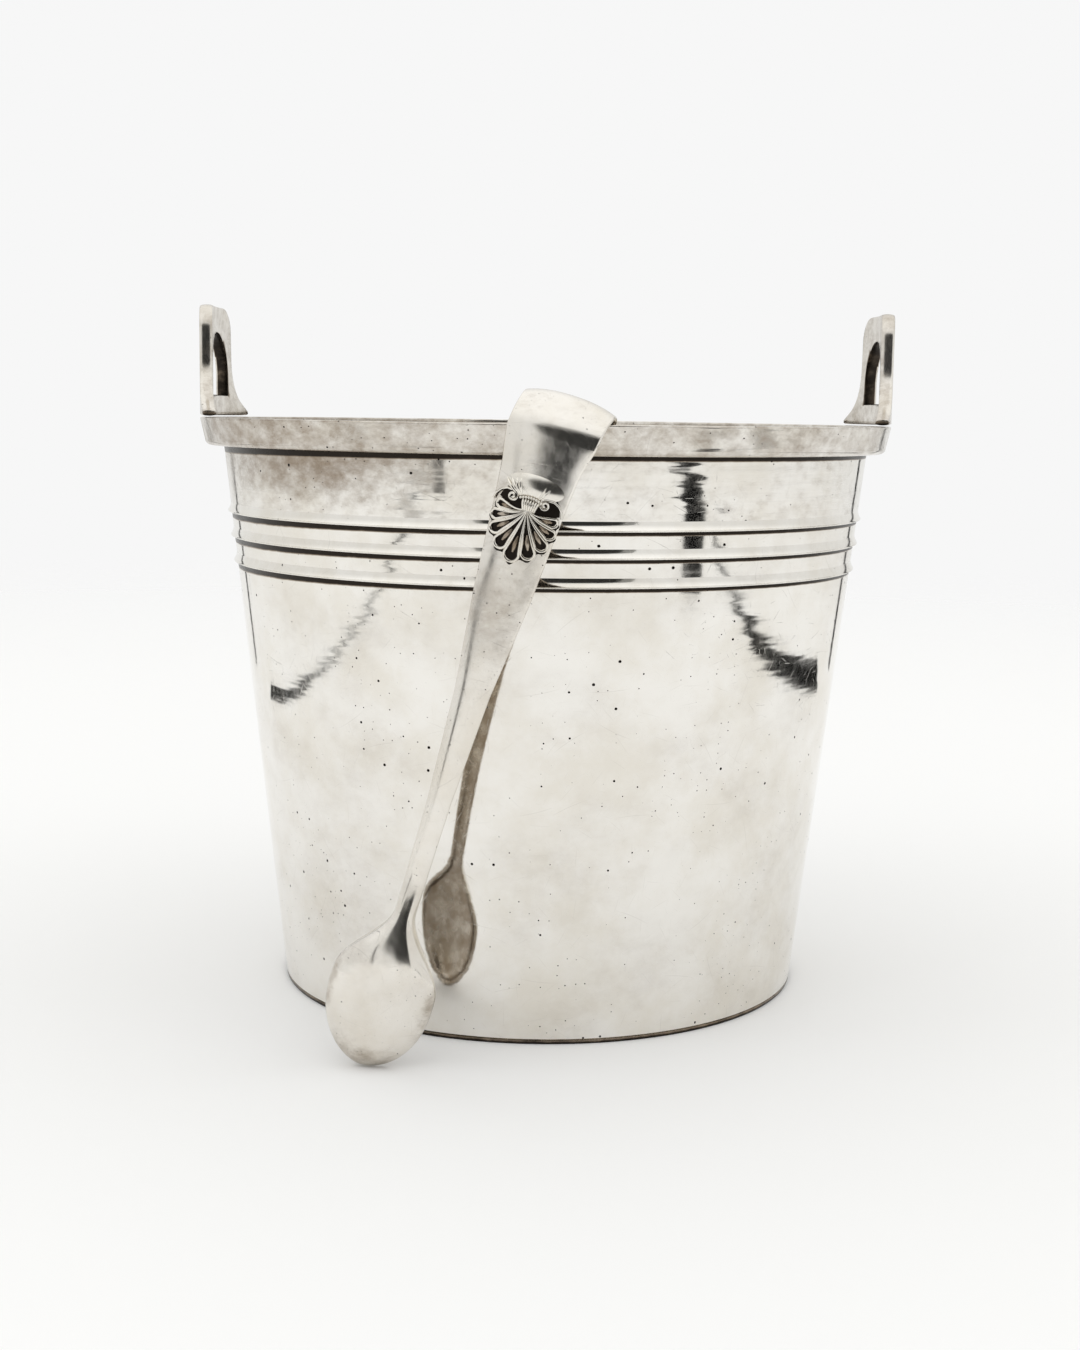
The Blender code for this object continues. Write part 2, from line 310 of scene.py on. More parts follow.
# %% Groups and noise
def new_group(name, outputs, **numbers):
    """A shader node group on a vector, with further named numbers and their defaults."""
    group = bpy.data.node_groups.new(name, "ShaderNodeTree")
    group.interface.new_socket("Vector", in_out="INPUT", socket_type="NodeSocketVector")
    for label, value in numbers.items():
        socket = group.interface.new_socket(label, in_out="INPUT",
                                            socket_type="NodeSocketFloat")
        socket.default_value = value
    for label in outputs:
        kind = "NodeSocketVector" if label == "Vector" else "NodeSocketFloat"
        group.interface.new_socket(label, in_out="OUTPUT", socket_type=kind)
    return group, add(group, "NodeGroupInput").outputs, add(group, "NodeGroupOutput").inputs


def noise(tree, vector, scale, detail=3.0, roughness=0.55, squash=(1.0, 1.0, 1.0), spin=0.0):
    """Noise on a vector that is turned and squashed first, for grain that has a direction."""
    mapping = add(tree, "ShaderNodeMapping",
                  {"Vector": vector, "Scale": squash,
                   "Rotation": (spin, spin * 0.7, spin * 1.3)})
    return add(tree, "ShaderNodeTexNoise",
               {"Vector": mapping, "Scale": scale, "Detail": detail,
                "Roughness": roughness}).outputs["Fac"]


def larger(tree, total, value):
    """The larger of a running total and a value; the first value starts the total."""
    return value if total is None else math_node(tree, "MAXIMUM", total, value)


print("group helpers ready")

# %% Coordinates on the metal's own surface
UNROLL_SCALE = 0.09          # metres of wall for each radian round the axis


def make_unrolled():
    """Unrolls a turned piece: distance round the axis, then height plus radius.

    The radius keeps the pattern from running in rays over flat rings and discs.
    """
    group, given, result = new_group("unrolled", ["Vector"])
    split = split_axes(group, given["Vector"])
    front = times(group, split["Y"], -1.0)
    turn_angle = math_node(group, "ARCTAN2", split["X"], front)
    squares = [math_node(group, "POWER", math_node(group, "ABSOLUTE", side), 2.0)
               for side in (front, split["X"])]
    radius = math_node(group, "SQRT", plus(group, *squares))
    join = add(group, "ShaderNodeCombineXYZ", {"X": times(group, turn_angle, UNROLL_SCALE),
                                               "Y": plus(group, split["Z"], radius)})
    connect(group, result["Vector"], join)
    return group


def make_laid_flat():
    """Looks at a flat piece from the front: across, then height, with a little depth mixed in."""
    group, given, result = new_group("laid_flat", ["Vector"])
    split = split_axes(group, given["Vector"])
    across = plus(group, split["X"], times(group, split["Y"], 0.7))
    join = add(group, "ShaderNodeCombineXYZ", {"X": across, "Y": split["Z"]})
    connect(group, result["Vector"], join)
    return group


UNROLLED = make_unrolled()
LAID_FLAT = make_laid_flat()
print("groups:", UNROLLED.name, LAID_FLAT.name)

# %% Polishing swirls and single scratches
# Cell scale, thickness, length and strength of each size of scratch
SCRATCH_SIZES = ((55.0, 0.00006, 0.0070, 0.8), (120.0, 0.00004, 0.0036, 0.7),
                 (260.0, 0.00003, 0.0018, 0.5))


def cells_of(tree, vector, scale):
    """A flat Voronoi pattern, and the random numbers of each cell."""
    cells = add(tree, "ShaderNodeTexVoronoi", {"Vector": vector, "Scale": scale},
                voronoi_dimensions="2D").outputs
    return cells, add(tree, "ShaderNodeSeparateColor", {"Color": cells["Color"]}).outputs


def make_scratches():
    """One short line per Voronoi cell, at the cell's own random angle, in three sizes."""
    group, given, result = new_group("polish_scratches", ["Lines", "Swirls"], Share=0.6)
    total = None
    for scale, thin, long, strength in SCRATCH_SIZES:
        cells, random = cells_of(group, given["Vector"], scale)
        offset = add(group, "ShaderNodeVectorMath", {0: given["Vector"], 1: cells["Position"]},
                     operation="SUBTRACT")
        spin = add(group, "ShaderNodeVectorRotate",
                   {"Vector": offset, "Angle": times(group, random["Red"], 6.283)},
                   rotation_type="Z_AXIS")
        split = split_axes(group, spin)
        bend = times(group, math_node(group, "POWER", split["X"], 2.0), 12.0)
        side = math_node(group, "ABSOLUTE", math_node(group, "SUBTRACT", split["Y"], bend))
        line = remap(group, side, 0.0, thin * 2.0, 1.0, 0.0)
        ends = remap(group, math_node(group, "ABSOLUTE", split["X"]), long * 0.3, long, 1.0, 0.0)
        chosen = math_node(group, "LESS_THAN", random["Green"], given["Share"])
        line = times(group, times(group, line, ends), chosen)
        total = larger(group, total, times(group, line, strength))
    connect(group, result["Lines"], total)
    connect(group, result["Swirls"],
            noise(group, given["Vector"], 700.0, 4.0, 0.65, (1.0, 0.5, 1.0), 0.4))
    return group


SCRATCHES = make_scratches()
print("group:", SCRATCHES.name)

# %% Tiny black pits
def make_pits():
    """Round specks: a few Voronoi cells keep a small disc at their centre."""
    group, given, result = new_group("casting_pits", ["Pits"], Scale=150.0, Share=0.15,
                                     Size=0.055)
    total = None
    for finer in (1.0, 2.3):
        cells, random = cells_of(group, given["Vector"], times(group, given["Scale"], finer))
        cluster = noise(group, given["Vector"], 30.0, 2.0, 0.5, (1.0, 0.5, 1.0))
        share = times(group, given["Share"], remap(group, cluster, 0.42, 0.68, 0.25, 1.0))
        chosen = math_node(group, "LESS_THAN", random["Red"], share)
        size = times(group, given["Size"], plus(group, random["Green"], 0.35))
        disc = remap(group, cells["Distance"], times(group, size, 0.75), size, 1.0, 0.0)
        total = larger(group, total, times(group, disc, chosen))
    connect(group, result["Pits"], total)
    return group


PITS = make_pits()
print("group:", PITS.name)

# %% Tarnish and painted shade
def make_tarnish_and_shade():
    """Cloudy stain everywhere, and the piece's own grime and painted shade: brown at one half,
    black at one.
    """
    group, given, result = new_group("tarnish_and_shade", ["Stain", "Depth"], Grime=0.0, Amount=0.3)
    broad = noise(group, given["Vector"], 26.0, 6.0, 0.62, (1.0, 1.0, 1.3))
    fine = noise(group, given["Vector"], 170.0, 5.0, 0.7, (1.0, 1.0, 1.5), 0.4)
    cloud = times(group, remap(group, broad, 0.42, 0.72), remap(group, fine, 0.25, 0.75, 0.2, 1.0))
    cloud = times(group, cloud, given["Amount"])
    # The piece's own number carries real tarnish and also painted shade, such as the black lines
    # under the lips and the collar.
    ragged = plus(group, given["Grime"],
                  times(group, math_node(group, "SUBTRACT", fine, 0.5), 0.7))
    present = remap(group, given["Grime"], 0.0, 0.15)
    brown = times(group, remap(group, ragged, 0.05, 0.6), present)
    black = times(group, remap(group, ragged, 0.5, 0.95), present)
    connect(group, result["Stain"], math_node(group, "MAXIMUM", cloud, brown))
    connect(group, result["Depth"], black)
    return group


TARNISH_AND_SHADE = make_tarnish_and_shade()
print("group:", TARNISH_AND_SHADE.name)

# %% [markdown]
# One function puts the groups together.  The Principled shader stays in the material itself,
# with Metallic at one.  The masks only change its colour, roughness and bump.

# %% The silver material
# Brown and black serve real tarnish, oxide and pits, and also painted shade.
TARNISH_AND_SHADE_BROWN = (0.20, 0.135, 0.075, 1.0)
SCRATCH_GREY = (0.40, 0.37, 0.33, 1.0)
OXIDE_AND_SHADE_BLACK = (0.012, 0.010, 0.009, 1.0)
RIPPLE = 0.00014             # depth of the turning marks on the band under the collar
GRAIN = 0.0000012            # depth of the polishing swirls
CUT_DEEP = 0.000005
PIT_DEEP = 0.00008


def use_group(tree, group, **values):
    return add(tree, "ShaderNodeGroup", values, node_tree=group).outputs


def attribute(tree, name):
    return add(tree, "ShaderNodeAttribute", attribute_name=name).outputs["Fac"]


def mix_colour(tree, share, first, second):
    """Blends two colours.  The mix node's colour inputs are its sixth and seventh."""
    return add(tree, "ShaderNodeMix", {"Factor": share, 6: first, 7: second},
               data_type="RGBA").outputs[2]


def make_silver(name, colour, roughness, unroll, stain=0.25, pits=0.12, pit_scale=150.0,
                dark=0.95, wave=0.00003, wave_squash=(1.0, 1.0, 1.0), scratches=0.6):
    """Worn silver, darkened by painted shade where a piece's numbers ask for it.  wave is the
    height of the slow waves that hand work leaves in the metal.
    """
    material, tree, shader = new_material(name, Metallic=1.0)
    place = add(tree, "ShaderNodeTexCoord").outputs["Object"]
    flat = use_group(tree, unroll, Vector=place)["Vector"]
    scratch = use_group(tree, SCRATCHES, Vector=flat, Share=scratches)
    pit = use_group(tree, PITS, Vector=flat, Share=pits, Scale=pit_scale)["Pits"]
    dirt_and_shade = use_group(tree, TARNISH_AND_SHADE, Vector=place, Grime=attribute(tree, "grime_and_shade"), Amount=stain)
    mottle = noise(tree, place, 42.0, 6.0, 0.65)
    shade = (colour[0] * 0.90, colour[1] * 0.88, colour[2] * 0.84, 1.0)
    skin = mix_colour(tree, remap(tree, mottle, 0.35, 0.7), colour, shade)
    skin = mix_colour(tree, times(tree, scratch["Lines"], 0.35), skin, SCRATCH_GREY)
    # The brown and the black below paint real tarnish and also the painted shade that each piece
    # writes.
    skin = mix_colour(tree, times(tree, dirt_and_shade["Stain"], 0.85), skin, TARNISH_AND_SHADE_BROWN)
    skin = mix_colour(tree, times(tree, dirt_and_shade["Depth"], dark), skin, OXIDE_AND_SHADE_BLACK)
    skin = mix_colour(tree, pit, skin, OXIDE_AND_SHADE_BLACK)
    connect(tree, shader.inputs["Base Color"], skin)
    rough = remap(tree, scratch["Swirls"], 0.3, 0.75, roughness * 0.8, roughness * 1.25)
    rough = plus(tree, rough, times(tree, dirt_and_shade["Stain"], 0.2))
    rough = math_node(tree, "ADD", rough, times(tree, pit, 0.4), clamp=True)
    connect(tree, shader.inputs["Roughness"], rough)
    slow = times(tree, noise(tree, flat, 30.0, 1.0, 0.5, wave_squash), wave)
    quick = times(tree, noise(tree, flat, 120.0, 2.0, 0.5, wave_squash), wave * 0.28)
    height = plus(tree, plus(tree, slow, quick), times(tree, scratch["Swirls"], GRAIN))
    planish = times(tree, noise(tree, flat, 230.0, 1.6, 0.5, (0.12, 1.0, 1.0)),
                    attribute(tree, "ripple"))
    height = plus(tree, height, times(tree, planish, RIPPLE))
    cuts = plus(tree, times(tree, scratch["Lines"], CUT_DEEP), times(tree, pit, PIT_DEEP))
    bump = add(tree, "ShaderNodeBump",
               {"Height": math_node(tree, "SUBTRACT", height, cuts), "Distance": 1.0,
                "Strength": 1.0})
    connect(tree, shader.inputs["Normal"], bump)
    return material


BODY = make_silver("silver_body", (0.87, 0.85, 0.81, 1.0), 0.065, UNROLLED, stain=0.24,
                   pits=0.34, pit_scale=150.0, wave=0.00007, wave_squash=(0.6, 1.6, 1.0))
HOOP = make_silver("silver_hoop", (0.87, 0.85, 0.81, 1.0), 0.07, UNROLLED, stain=0.22,
                   pits=0.06, wave=0.00003, wave_squash=(0.5, 1.6, 1.0))
HANDLE = make_silver("silver_handle", (0.80, 0.77, 0.72, 1.0), 0.16, LAID_FLAT, stain=0.75,
                     pits=0.2, pit_scale=400.0, wave=0.00002)
TONGS = make_silver("silver_tongs", (0.84, 0.81, 0.76, 1.0), 0.14, LAID_FLAT, stain=0.46,
                    pits=0.42, pit_scale=420.0, wave=0.00003, scratches=0.85)
SHELL = make_silver("silver_shell", (0.82, 0.79, 0.73, 1.0), 0.18, LAID_FLAT, stain=0.3,
                    pits=0.0, dark=0.97, wave=0.0, scratches=0.3)
print("materials:", [m.name for m in bpy.data.materials])

# %% [markdown]
# ## Turned pieces
#
# The wall, base, collar and hoops are all turned about one axis, so one Geometry Nodes tree
# makes them.  It reads a closed outline, drawn as edges with the radius along X and the height
# along Y, and sweeps it along a small circle.  The outline keeps its distance from that
# circle, so that the sweep is an exact lathe.

# %% The lathe tree
RAIL_RADIUS = 0.001
LATHE_SEGMENTS = 256


def new_geometry_tree(name, **inputs):
    """A tree with named inputs: whole numbers, lengths, and the material as Finish."""
    tree = bpy.data.node_groups.new(name, "GeometryNodeTree")
    tree.interface.new_socket("Geometry", in_out="INPUT", socket_type="NodeSocketGeometry")
    for label, value in inputs.items():
        kind = "NodeSocketInt" if isinstance(value, int) else "NodeSocketFloat"
        tree.interface.new_socket(label.replace("_", " "), in_out="INPUT",
                                  socket_type=kind).default_value = value
    tree.interface.new_socket("Finish", in_out="INPUT", socket_type="NodeSocketMaterial")
    tree.interface.new_socket("Geometry", in_out="OUTPUT", socket_type="NodeSocketGeometry")
    return tree, add(tree, "NodeGroupInput").outputs


def finish_tree(tree, given, geometry):
    """Smooth shading, real geometry and the material close every tree."""
    smooth = add(tree, "GeometryNodeSetShadeSmooth", {"Geometry": geometry})
    real = add(tree, "GeometryNodeRealizeInstances", {"Geometry": smooth})
    paint = add(tree, "GeometryNodeSetMaterial", {"Geometry": real, "Material": given["Finish"]})
    add(tree, "NodeGroupOutput", {"Geometry": paint})
    return tree


def make_lathe_tree():
    tree, given = new_geometry_tree("lathe", Segments=LATHE_SEGMENTS, Rail_Radius=RAIL_RADIUS)
    outline = add(tree, "GeometryNodeMeshToCurve", {"Mesh": given["Geometry"]})
    rail = add(tree, "GeometryNodeCurvePrimitiveCircle",
               {"Resolution": given["Segments"], "Radius": given["Rail Radius"]})
    sweep = add(tree, "GeometryNodeCurveToMesh", {"Curve": rail, "Profile Curve": outline})
    return finish_tree(tree, given, sweep)


LATHE = make_lathe_tree()
print("tree:", LATHE.name)

# %% From a tree to a plain mesh
def socket_id(tree, label):
    for item in tree.interface.items_tree:
        if item.item_type == "SOCKET" and item.in_out == "INPUT" and item.name == label:
            return item.identifier
    raise KeyError(label)


def outward(mesh):
    """Turns a closed mesh the right way out."""
    shape = bmesh.new()
    shape.from_mesh(mesh)
    bmesh.ops.remove_doubles(shape, verts=shape.verts, dist=0.000001)
    if shape.calc_volume(signed=True) < 0.0:
        bmesh.ops.reverse_faces(shape, faces=shape.faces)
    shape.to_mesh(mesh)
    shape.free()


def grown(name, source, tree, values):
    """Runs a geometry tree on a source mesh and keeps the result as a plain mesh object."""
    carrier = add_object(name + "_carrier", source)
    modifier = carrier.modifiers.new("grow", "NODES")
    modifier.node_group = tree
    for label, value in values.items():
        modifier[socket_id(tree, label)] = value
    bpy.context.view_layer.update()
    graph = bpy.context.evaluated_depsgraph_get()
    mesh = bpy.data.meshes.new_from_object(carrier.evaluated_get(graph))
    carrier.modifiers.remove(modifier)
    bpy.data.objects.remove(carrier)
    mesh.name = name
    outward(mesh)
    mesh.set_sharp_from_angle(angle=math.radians(35.0))
    return add_object(name, mesh)


def edge_mesh(name, chains):
    """Edges through chains of (points, closed); the trees read them as curves."""
    points, edges = [], []
    for chain, closed in chains:
        start = len(points)
        points += [tuple(point) for point in chain]
        edges += [(start + i, start + i + 1) for i in range(len(chain) - 1)]
        if closed:
            edges.append((start + len(chain) - 1, start))
    mesh = bpy.data.meshes.new(name)
    mesh.from_pydata(points, edges, [])
    return mesh


def turned(name, outline, finish, node, closed=True):
    """A turned piece from (radius, height) points that run round its section."""
    section = [(radius - RAIL_RADIUS, -height, 0.0) for radius, height in outline]
    piece = grown(name, edge_mesh(name + "_section", [(section, closed)]), LATHE,
                  {"Finish": finish})
    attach(piece, "bucket")
    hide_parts(node)
    return piece


def set_attribute(piece, name, rule):
    """Writes a number at each vertex: rule takes its place and its normal."""
    layer = piece.data.attributes.new(name, "FLOAT", "POINT")
    layer.data.foreach_set("value", [rule(vertex.co, vertex.normal)
                                     for vertex in piece.data.vertices])


def set_grime_and_shade(piece, rule):
    """The grime and painted shade that a piece's own rule gives: 0 is clean, 1 is black."""
    set_attribute(piece, "grime_and_shade", rule)


def bump_rule(value, centre, reach):
    """1 at centre, falling to 0 at a distance of reach."""
    return max(0.0, 1.0 - abs(value - centre) / reach)


print("mesh helpers ready")

# %% [markdown]
# The wall is a plain cone between its hoops.  Each hoop is a separate soldered ring on the
# real bucket.  Seen from outside it starts flush with the wall, sweeps outwards in a hollow
# curve to a thin bright lip, and steps straight back; the black line under it is painted shade.

# %% Sizes of the turned pieces, read from the frame
base_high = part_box("base_plate")[1]
wall_low, wall_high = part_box("bucket_wall")
collar_low, collar_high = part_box("rim_collar")
BASE_RADIUS = base_high.x
BASE_THICK = base_high.z
WALL_FOOT = wall_low.z
WALL_TOP = wall_high.z
WALL_SLOPE = (wall_high.x - BASE_RADIUS) / WALL_TOP
SHEET = 0.0012
RIM_RADIUS = collar_high.x
RIM_HEIGHT = collar_high.z
COLLAR_BOTTOM = collar_low.z
HOOP_NAMES = ("upper_hoop", "middle_hoop", "lower_hoop")
HOOPS = {name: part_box(name) for name in HOOP_NAMES}


def wall_radius(height):
    return BASE_RADIUS + WALL_SLOPE * height


def fillet(cx, cy, radius, start, end, count=6):
    """Points on an arc round (cx, cy), from one angle to another in degrees."""
    angles = [math.radians(start + (end - start) * i / count) for i in range(count + 1)]
    return [(cx + radius * math.cos(a), cy + radius * math.sin(a)) for a in angles]


def straight(start, end, count):
    """Points on a line, without its last one."""
    return [(start[0] + (end[0] - start[0]) * i / count,
             start[1] + (end[1] - start[1]) * i / count) for i in range(count)]


print("rim radius", round(RIM_RADIUS, 4), "height", round(RIM_HEIGHT, 4))

# %% The wall
LIP_FEET = sorted(foot.z for foot, top in HOOPS.values())
BAND_FOOT = 0.0056           # the band under the collar starts this far over the top lip


def wall_heights():
    """Rows down the wall's outer face, close together where tarnish gathers."""
    heights = set(np.linspace(WALL_FOOT, WALL_TOP, 60).round(5))
    for foot in LIP_FEET + [COLLAR_BOTTOM]:
        heights |= set((foot + np.linspace(-0.0028, 0.0004, 26)).round(5))
    heights |= set((WALL_FOOT + np.linspace(0.0, 0.003, 8)).round(5))
    return sorted(heights, reverse=True)


wall_outline = [(wall_radius(z), z) for z in wall_heights()]
wall_outline += straight((wall_radius(WALL_FOOT) - SHEET, WALL_FOOT),
                         (wall_radius(WALL_TOP) - SHEET, WALL_TOP), 24)
wall_outline.append((wall_radius(WALL_TOP) - SHEET, WALL_TOP))
wall = turned("bucket_wall_raised", wall_outline, BODY, "bucket_wall")


def under(height, ceiling, reach):
    """1 just under a ceiling, falling to 0 at a distance of reach below it."""
    drop = ceiling - height
    return max(0.0, 1.0 - max(0.0, drop) / reach) if drop > -0.0005 else 0.0


def wall_grime_and_shade(point, normal):
    if math.hypot(point.x, point.y) < wall_radius(point.z) - SHEET / 2.0:
        return 0.35 * bump_rule(point.z, WALL_FOOT, 0.02)
    shaded = bump_rule(point.x, -0.085, 0.075)
    # Painted shade: a black line just under each lip and under the collar, wider on the left.
    steps = max(3.0 * under(point.z, foot, 0.0012 + 0.0009 * shaded) for foot in LIP_FEET)
    collar_line = 3.0 * under(point.z, COLLAR_BOTTOM, 0.0015 + 0.0010 * shaded)
    band = 0.13 if point.z > LIP_FEET[-1] else 0.0
    left_band = (bump_rule(point.z, COLLAR_BOTTOM - 0.003, 0.014)
                 * bump_rule(point.x, -0.060, 0.050) * (1.0 if point.y < 0.0 else 0.3))
    return min(1.0, max(steps, collar_line, band + left_band * 0.42))


set_grime_and_shade(wall, wall_grime_and_shade)
set_attribute(wall, "ripple",
              lambda point, normal: 1.0 if point.z > LIP_FEET[-1] + BAND_FOOT else 0.22)
print("wall faces:", len(wall.data.polygons))

# %% The hoops
LIP_THICK = 0.00045
HOOP_SINK = 0.00015          # how far a hoop's feathered top lies under the wall's surface
HOOP_POWER = 4.0
HOOP_REACH = 0.60            # a worn lip stands out less than the plain solid's full edge


def hoop_outline(foot, top):
    """A hollow sweep out to a rounded lip, and a straight step back under it."""
    rows = 22
    lip = foot.z + LIP_THICK
    reach = (top.x - wall_radius(lip)) * HOOP_REACH
    points = []
    for i in range(rows + 1):
        drop = i / rows
        height = top.z + (lip - top.z) * drop
        points.append((wall_radius(height) - HOOP_SINK + (reach + HOOP_SINK) * drop ** HOOP_POWER,
                       height))
    points += fillet(wall_radius(lip) + reach - LIP_THICK / 2.0, lip - LIP_THICK / 2.0,
                     LIP_THICK / 2.0, 60.0, -90.0)
    points += [(wall_radius(end.z) - HOOP_SINK * 3.0, end.z) for end in (foot, top)]
    return points


def hoop_step_shade(point, normal):
    """Black painted shade in the step under each lip."""
    recess = wall_radius(point.z) + 0.0009 - math.hypot(point.x, point.y)
    step = any(foot <= point.z + 0.0001 < foot + 0.0002 for foot in LIP_FEET)
    return 0.9 if step and recess > 0.0 else 0.0


for hoop_name, hoop_box in HOOPS.items():
    hoop = turned(hoop_name + "_lipped", hoop_outline(*hoop_box), HOOP, hoop_name)
    set_grime_and_shade(hoop, hoop_step_shade)
print("hoops:", len(HOOPS))

# %% The base disc
EDGE = 0.0003
base_outline = [(0.0, BASE_THICK), (0.030, BASE_THICK), (0.060, BASE_THICK),
                (BASE_RADIUS - 0.0015, BASE_THICK),
                (BASE_RADIUS - EDGE, BASE_THICK)]
base_outline += fillet(BASE_RADIUS - EDGE, BASE_THICK - EDGE, EDGE, 75.0, 0.0)
base_outline += fillet(BASE_RADIUS - EDGE, EDGE, EDGE, 0.0, -90.0)
base_outline += [(BASE_RADIUS - 0.0015, 0.0), (0.060, 0.0), (0.030, 0.0), (0.0, 0.0)]
base = turned("base_disc", base_outline, BODY, "base_plate", closed=False)


def base_grime_and_shade(point, normal):
    if math.hypot(point.x, point.y) < BASE_RADIUS - 0.001:
        return 0.10
    # Painted shadow: the edge is black in its lower half and dark above, for the gap at the floor.
    return 1.0 if point.z < BASE_THICK / 2.0 else 0.66


set_grime_and_shade(base, base_grime_and_shade)
print("base faces:", len(base.data.polygons))

# %% [markdown]
# The collar is the heaviest part of the bucket.  Its face leans out a little, its lower edge is
# a wide quarter round that catches a bright line, and beneath it the metal steps back to the
# wall.  Painted shade darkens that step, and a light tarnish lies on the rest of the collar.

# %% The collar
COLLAR_ROUND = 0.0017
RIM_EDGE = 0.0004
COVE = 0.0040
collar_foot_radius = RIM_RADIUS - 0.0013
lip_inner = RIM_RADIUS - COVE
cove_start = wall_radius(WALL_TOP) - SHEET * 1.3
collar_outline = fillet(RIM_RADIUS - RIM_EDGE, RIM_HEIGHT - RIM_EDGE, RIM_EDGE, 90.0, -12.0)
collar_outline += straight((RIM_RADIUS - 0.0001, RIM_HEIGHT - 0.0008),
                           (collar_foot_radius, COLLAR_BOTTOM + COLLAR_ROUND), 8)
collar_outline += fillet(collar_foot_radius - COLLAR_ROUND, COLLAR_BOTTOM + COLLAR_ROUND,
                         COLLAR_ROUND, 0.0, -90.0, 12)
collar_outline += [(wall_radius(COLLAR_BOTTOM) + 0.0006, COLLAR_BOTTOM + 0.0003),
                   (wall_radius(COLLAR_BOTTOM) + 0.0002, COLLAR_BOTTOM + 0.0006),
                   (wall_radius(WALL_TOP) + 0.0002, WALL_TOP + 0.0002),
                   (cove_start, WALL_TOP + 0.0002)]
collar_outline += [(cove_start + (lip_inner - cove_start) * (1.0 - math.cos(a)),
                    WALL_TOP + 0.0004 + (RIM_HEIGHT - WALL_TOP - 0.0014) * math.sin(a))
                   for a in [math.pi / 2.0 * i / 10 for i in range(11)]]
collar_outline += fillet(lip_inner + RIM_EDGE, RIM_HEIGHT - RIM_EDGE, RIM_EDGE, 180.0, 90.0)
collar_outline += straight((lip_inner + 0.0010, RIM_HEIGHT), (RIM_RADIUS - 0.0008, RIM_HEIGHT), 2)
collar = turned("rim_collar_rounded", collar_outline, BODY, "rim_collar")


def collar_grime_and_shade(point, normal):
    radius = math.hypot(point.x, point.y)
    # Painted shade: the step back to the wall under the quarter round is black.
    step = radius < collar_foot_radius - 0.0015 and point.z < COLLAR_BOTTOM + 0.0008
    cove = 0.3 if radius < lip_inner and point.z > WALL_TOP else 0.0
    return 1.0 if step else max(cove, 0.28 + 0.12 * bump_rule(point.x, -0.080, 0.060))


set_grime_and_shade(collar, collar_grime_and_shade)
print("collar faces:", len(collar.data.polygons))

# %% [markdown]
# ## Sawn and filed plates
#
# The handles and the tongs are thick sheet with rounded edges.  Both come from the same idea:
# a grid of points on the middle of the sheet, a normal at each, and a section that runs down
# one face, round one edge, back up the other face and round the other edge.

# %% Sheet from its middle surface
def solid(name, points, faces, finish, sharp):
    """A closed smooth object.  Edges that turn more than sharp degrees stay crisp."""
    mesh = bpy.data.meshes.new(name)
    mesh.from_pydata([tuple(point) for point in points], [], faces)
    mesh.shade_smooth()
    outward(mesh)
    mesh.set_sharp_from_angle(angle=math.radians(sharp))
    mesh.materials.append(finish)
    return add_object(name, mesh)


def ring_faces(rings, count, closed=False):
    """Four-sided faces between each ring of points and the next."""
    faces = []
    for i in range(rings if closed else rings - 1):
        near, far = i * count, ((i + 1) % rings) * count
        faces += [(near + j, near + (j + 1) % count, far + (j + 1) % count, far + j)
                  for j in range(count)]
    return faces


def loft(name, sections, closed, finish):
    """A closed skin through equal sections.  Open lofts get a flat cap at each end."""
    rows, count = len(sections), len(sections[0])
    faces = ring_faces(rows, count, closed)
    if not closed:
        faces.append(tuple(range(count)))
        faces.append(tuple(range((rows - 1) * count, rows * count))[::-1])
    return solid(name, [point for section in sections for point in section], faces, finish, 40.0)


def along_rows(points, closed):
    """The direction from row to row, by differences."""
    if closed:
        return np.roll(points, -1, axis=0) - np.roll(points, 1, axis=0)
    return np.gradient(points, axis=0)


def surface_normals(grid, closed):
    """Unit normals of a rows x columns grid of points."""
    normal = np.cross(along_rows(grid, closed), np.gradient(grid, axis=1))
    return normal / np.linalg.norm(normal, axis=2, keepdims=True)


def edge_arc(thick, soft, steps=14):
    """(reach, offset) pairs round a half-oval edge that stands out by soft."""
    return [(soft * math.cos(a), thick / 2.0 * math.sin(a))
            for a in np.linspace(math.pi / 2.0, -math.pi / 2.0, steps + 1)[1:-1]]


def sheet_sections(grid, thick, closed=False, soft=(None, None)):
    """Sections for loft() from a grid on the middle of the sheet, with soft (left, right) edges."""
    normal = surface_normals(grid, closed)

    def edge(column, neighbour, radius):
        line = grid[:, column]
        out = np.cross(normal[:, column], along_rows(line, closed))
        out *= np.sign((out * (line - grid[:, neighbour])).sum(axis=1, keepdims=True))
        out /= np.linalg.norm(out, axis=1, keepdims=True)
        return [line + out * reach + normal[:, column] * offset
                for reach, offset in edge_arc(thick, radius or thick * 0.45)]

    right = edge(-1, -2, soft[1])
    left = edge(0, 1, soft[0])
    columns = [grid[:, j] + normal[:, j] * thick / 2.0 for j in range(grid.shape[1])]
    columns += right
    columns += [grid[:, j] - normal[:, j] * thick / 2.0 for j in reversed(range(grid.shape[1]))]
    columns += left[::-1]
    return np.stack(columns, axis=1)


print("sheet helpers ready")

# %% [markdown]
# Each handle is a length of the rim's own curve, sawn to a bell-shaped arch with a
# half-round finger hole.  Its foot spreads out along the rim.  The outline and the hole are
# both sampled by angle from the hole's middle, so the sheet between them is a simple grid.

